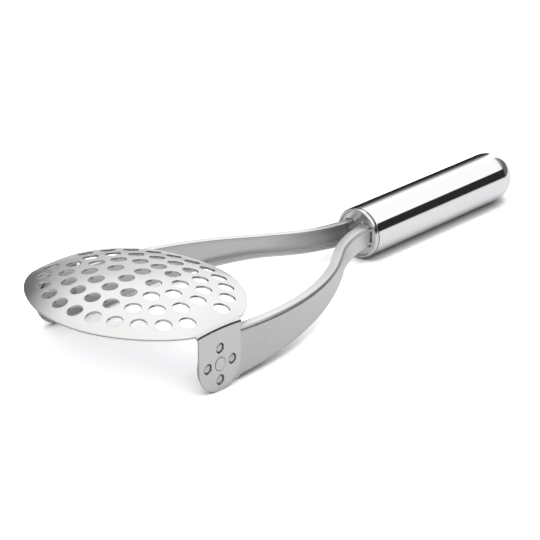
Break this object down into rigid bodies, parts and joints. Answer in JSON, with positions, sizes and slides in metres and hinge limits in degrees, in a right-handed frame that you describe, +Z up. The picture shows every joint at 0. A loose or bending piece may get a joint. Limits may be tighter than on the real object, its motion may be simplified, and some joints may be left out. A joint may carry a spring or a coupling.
{
  "type": "folding potato masher",
  "caption": "Stainless steel potato masher: perforated domed head that folds flat over two channel arms with a round hollow handle.",
  "frame": {"origin": "on the surface that the masher rests on in its storage pose, under the middle of its length and width", "axes": "+X along the handle from the head towards the rounded end, +Y from the right tongue to the left tongue, +Z up out of the dome of the stored head"},
  "size_m": [0.2928, 0.1004, 0.0373],
  "materials": {
    "satin_steel": "satin",
    "arm_steel": "satin",
    "rivet_steel": "satin",
    "polished_steel": "mirror polished"
  },
  "bodies": {
    "handle_and_arms": {"handle_tube": "polished_steel", "handle_plug": "polished_steel", "arm_left": "arm_steel", "arm_right": "arm_steel", "arm_welds": "rivet_steel", "pivot_rivet_left": "rivet_steel", "pivot_rivet_right": "rivet_steel"},
    "head": {"mashing_head": "satin_steel"}
  },
  "joints": [
    {"name": "head_fold", "type": "hinge", "parent": "handle_and_arms", "child": "head", "pos_m": [-0.10378, 0, 0.0122], "axis": [0, -1, 0], "range_deg": [0, 180]}
  ]
}
